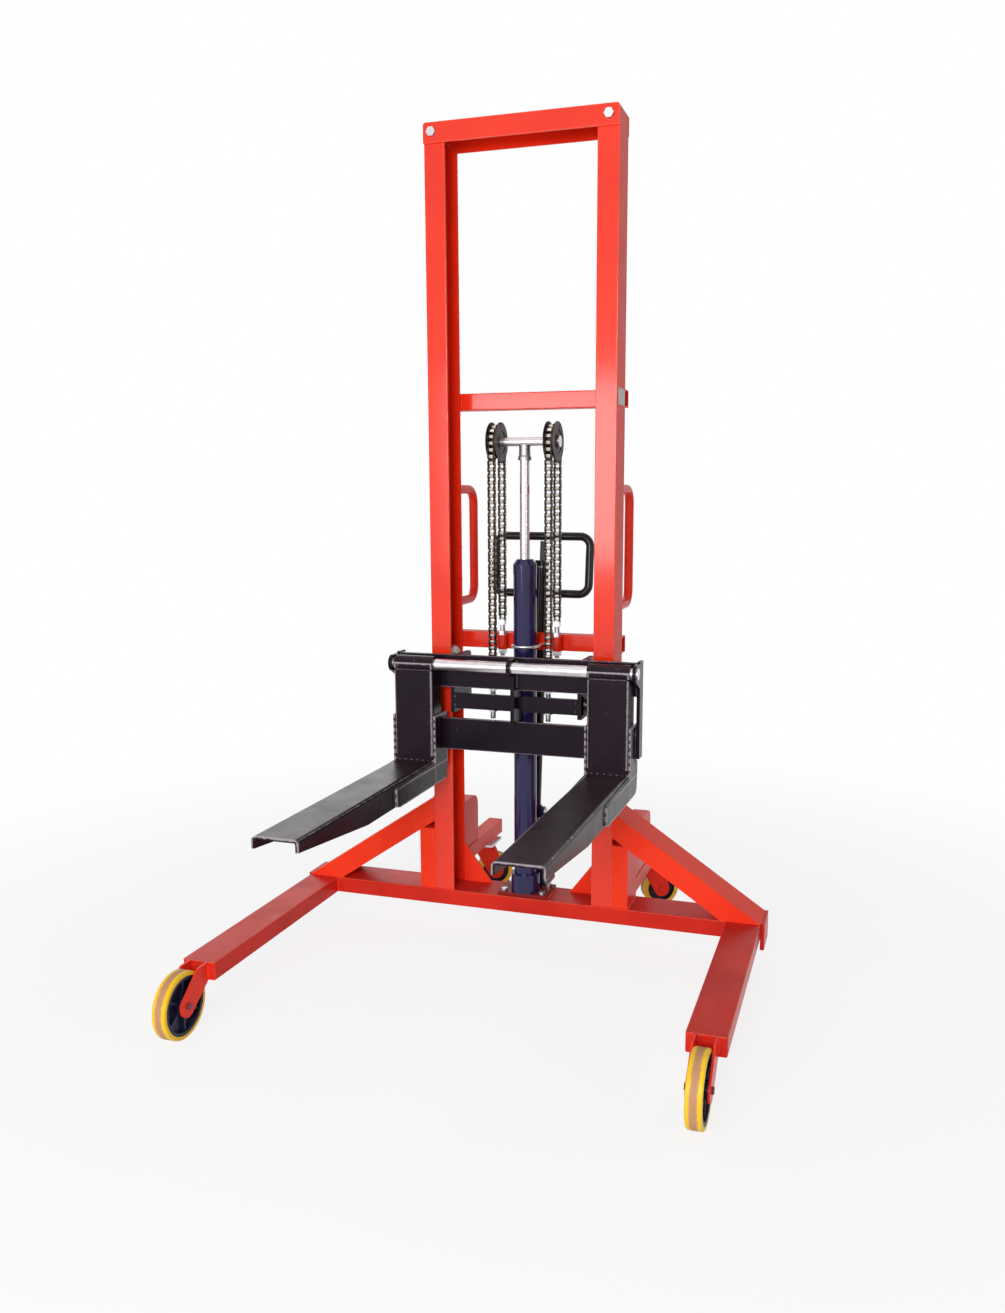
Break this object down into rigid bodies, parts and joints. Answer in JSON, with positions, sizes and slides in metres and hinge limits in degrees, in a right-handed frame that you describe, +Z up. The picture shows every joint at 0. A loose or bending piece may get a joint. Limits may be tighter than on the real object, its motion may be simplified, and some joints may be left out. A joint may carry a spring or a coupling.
{
  "type": "hand pallet stacker",
  "caption": "Manual straddle stacker with a red mast, hydraulic lift, two sliding black forks and yellow wheels.",
  "frame": {"origin": "on the floor under the middle of the whole machine", "axes": "+X to the right as seen from the forks, +Y from the forks towards the tiller, +Z up"},
  "size_m": [1.497, 1.55, 2.464],
  "materials": {
    "frame_red": "gloss orange-red paint",
    "carriage_black": "semi-gloss black paint",
    "cylinder_navy": "gloss dark navy paint",
    "zinc_plated": "zinc plated",
    "bare_steel": "turned bare steel",
    "chain_steel": "oiled dark steel",
    "rod_chrome": "hard chrome",
    "seal_rubber": "matte",
    "tyre_yellow": "polyurethane tread",
    "core_dark": "dark painted casting"
  },
  "bodies": {
    "chassis": {"upright_left": "frame_red", "upright_right": "frame_red", "top_beam": "frame_red", "frame_bolts": "zinc_plated", "crossbars": "frame_red", "base_beam": "frame_red", "leg_left": "frame_red", "leg_right": "frame_red", "wheel_ears": "frame_red", "outboard_posts": "frame_red", "diagonal_braces": "frame_red", "mast_gussets": "frame_red", "rear_rails": "frame_red", "push_handles": "frame_red", "caster_top_plates": "zinc_plated", "front_axles": "zinc_plated", "cylinder_foot": "frame_red", "cylinder_tube": "cylinder_navy", "gland_nut": "cylinder_navy", "rod_seal": "seal_rubber", "cylinder_strap": "zinc_plated", "rear_chain_anchors": "zinc_plated", "rear_chain_runs": "chain_steel", "pump_body": "cylinder_navy", "tiller_pin": "zinc_plated"},
    "rod": {"piston_rod": "rod_chrome", "piston": "bare_steel", "crosshead": "bare_steel", "crosshead_axle": "bare_steel", "front_chain_runs": "chain_steel", "chain_wraps": "chain_steel"},
    "carriage": {"upper_plate": "carriage_black", "lower_plate": "carriage_black", "middle_bars": "carriage_black", "side_plates": "carriage_black", "end_plates": "carriage_black", "centre_rib": "carriage_black", "fork_shaft": "bare_steel", "roller_axles": "zinc_plated", "front_chain_anchors": "zinc_plated"},
    "sheave_left": {"chain_wheel_left": "chain_steel"},
    "sheave_right": {"chain_wheel_right": "chain_steel"},
    "mast_roller_upper_left": {"roller_upper_left": "bare_steel"},
    "mast_roller_upper_right": {"roller_upper_right": "bare_steel"},
    "mast_roller_lower_left": {"roller_lower_left": "bare_steel"},
    "mast_roller_lower_right": {"roller_lower_right": "bare_steel"},
    "sliding_fork_left": {"fork_left": "carriage_black"},
    "front_wheel_left": {"front_tyre_left": "tyre_yellow", "front_hub_left": "core_dark"},
    "caster_left": {"caster_fork_left": "frame_red"},
    "caster_roll_left": {"caster_wheel_left": "tyre_yellow"},
    "sliding_fork_right": {"fork_right": "carriage_black"},
    "front_wheel_right": {"front_tyre_right": "tyre_yellow", "front_hub_right": "core_dark"},
    "caster_right": {"caster_fork_right": "frame_red"},
    "caster_roll_right": {"caster_wheel_right": "tyre_yellow"},
    "tiller": {"tiller_tube": "carriage_black", "tiller_loop": "carriage_black"},
    "lever": {"tiller_lever": "carriage_black"},
    "plunger": {"pump_plunger": "bare_steel"}
  },
  "joints": [
    {"name": "rod_slide", "type": "slide", "parent": "chassis", "child": "rod", "axis": [0, 0, 1], "range_m": [-0.268, 0.675], "deforming": ["rear_chain_runs"]},
    {"name": "carriage_slide", "type": "slide", "parent": "rod", "child": "carriage", "axis": [0, 0, 1], "range_m": [-0.268, 0.675], "deforming": ["front_chain_runs"]},
    {"name": "sheave_turn_left", "type": "hinge", "parent": "rod", "child": "sheave_left", "pos_m": [-0.088, 0.195, 1.571], "axis": [1, 0, 0], "range_deg": [-850, 360]},
    {"name": "sheave_turn_right", "type": "hinge", "parent": "rod", "child": "sheave_right", "pos_m": [0.088, 0.195, 1.571], "axis": [1, 0, 0], "range_deg": [-850, 360]},
    {"name": "roller_turn_upper_left", "type": "hinge", "parent": "carriage", "child": "mast_roller_upper_left", "pos_m": [-0.2475, 0.2025, 0.909], "axis": [1, 0, 0], "range_deg": [-720, 1725]},
    {"name": "roller_turn_upper_right", "type": "hinge", "parent": "carriage", "child": "mast_roller_upper_right", "pos_m": [0.2475, 0.2025, 0.909], "axis": [1, 0, 0], "range_deg": [-720, 1725]},
    {"name": "roller_turn_lower_left", "type": "hinge", "parent": "carriage", "child": "mast_roller_lower_left", "pos_m": [-0.2475, 0.2025, 0.789], "axis": [1, 0, 0], "range_deg": [-1725, 720]},
    {"name": "roller_turn_lower_right", "type": "hinge", "parent": "carriage", "child": "mast_roller_lower_right", "pos_m": [0.2475, 0.2025, 0.789], "axis": [1, 0, 0], "range_deg": [-1725, 720]},
    {"name": "fork_slide_left", "type": "slide", "parent": "carriage", "child": "sliding_fork_left", "axis": [1, 0, 0], "range_m": [0, 0.22]},
    {"name": "front_roll_left", "type": "hinge", "parent": "chassis", "child": "front_wheel_left", "pos_m": [-0.6865, -0.643, 0.09], "axis": [1, 0, 0], "continuous": true},
    {"name": "caster_swivel_left", "type": "hinge", "parent": "chassis", "child": "caster_left", "pos_m": [-0.3065, 0.662, 0.156], "axis": [0, 0, 1], "continuous": true},
    {"name": "caster_spin_left", "type": "hinge", "parent": "caster_left", "child": "caster_roll_left", "pos_m": [-0.27706, 0.679, 0.0625], "axis": [-0.5, 0.866, 0], "continuous": true},
    {"name": "fork_slide_right", "type": "slide", "parent": "carriage", "child": "sliding_fork_right", "axis": [-1, 0, 0], "range_m": [0, 0.22]},
    {"name": "front_roll_right", "type": "hinge", "parent": "chassis", "child": "front_wheel_right", "pos_m": [0.6865, -0.643, 0.09], "axis": [1, 0, 0], "continuous": true},
    {"name": "caster_swivel_right", "type": "hinge", "parent": "chassis", "child": "caster_right", "pos_m": [0.3065, 0.662, 0.156], "axis": [0, 0, 1], "continuous": true},
    {"name": "caster_spin_right", "type": "hinge", "parent": "caster_right", "child": "caster_roll_right", "pos_m": [0.33594, 0.679, 0.0625], "axis": [-0.5, 0.866, 0], "continuous": true},
    {"name": "tiller_pump", "type": "hinge", "parent": "chassis", "child": "tiller", "pos_m": [0, 0.28, 0.42], "axis": [-1, 0, 0], "range_deg": [0, 55], "stiffness_Nm_per_rad": 18, "springref_deg": -68.75},
    {"name": "plunger_stroke", "type": "slide", "parent": "chassis", "child": "plunger", "axis": [0, 0, 1], "range_m": [-0.034, 0]},
    {"name": "lever_tilt", "type": "hinge", "parent": "tiller", "child": "lever", "pos_m": [0, 0.36909, 1.20194], "axis": [1, 0, 0], "range_deg": [-10, 20]}
  ],
  "couplings": [
    {"joint": "carriage_slide", "follows": "rod_slide", "ratio": 1},
    {"joint": "sheave_turn_left", "follows": "rod_slide", "rad_per_m": -21.834},
    {"joint": "sheave_turn_right", "follows": "rod_slide", "rad_per_m": -21.834},
    {"joint": "roller_turn_upper_left", "follows": "rod_slide", "rad_per_m": 44.444},
    {"joint": "roller_turn_upper_right", "follows": "rod_slide", "rad_per_m": 44.444},
    {"joint": "roller_turn_lower_left", "follows": "rod_slide", "rad_per_m": -44.444},
    {"joint": "roller_turn_lower_right", "follows": "rod_slide", "rad_per_m": -44.444},
    {"joint": "plunger_stroke", "follows": "tiller_pump", "m_per_rad": -0.035}
  ]
}
